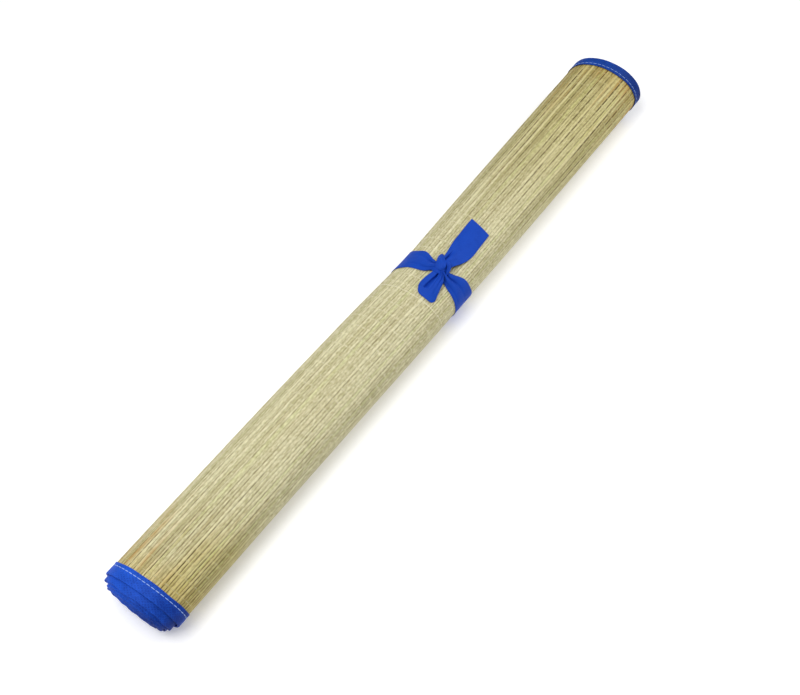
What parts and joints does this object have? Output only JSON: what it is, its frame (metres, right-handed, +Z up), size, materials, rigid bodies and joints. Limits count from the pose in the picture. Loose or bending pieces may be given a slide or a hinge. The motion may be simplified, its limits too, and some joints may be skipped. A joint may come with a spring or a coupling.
{
  "type": "rolled straw mat with ribbon tie",
  "caption": "Straw beach mat rolled up along its straws, both edges bound in blue tape, held shut by a blue ribbon knotted on top; lies on a small flat spot.",
  "frame": {"origin": "on the floor, under the middle of the roll's length and width", "axes": "+X along the roll towards the end whose turns are drawn in, +Z up"},
  "size_m": [0.6104, 0.0676, 0.0558],
  "materials": {
    "straw": "dry pale straw, matt",
    "tape": "blue bonded cloth tape, matt",
    "ribbon": "blue bonded cloth ribbon, matt"
  },
  "bodies": {
    "root": {"straw_roll": "straw", "binding_near": "tape", "binding_far": "tape", "tie": "ribbon"}
  },
  "joints": []
}
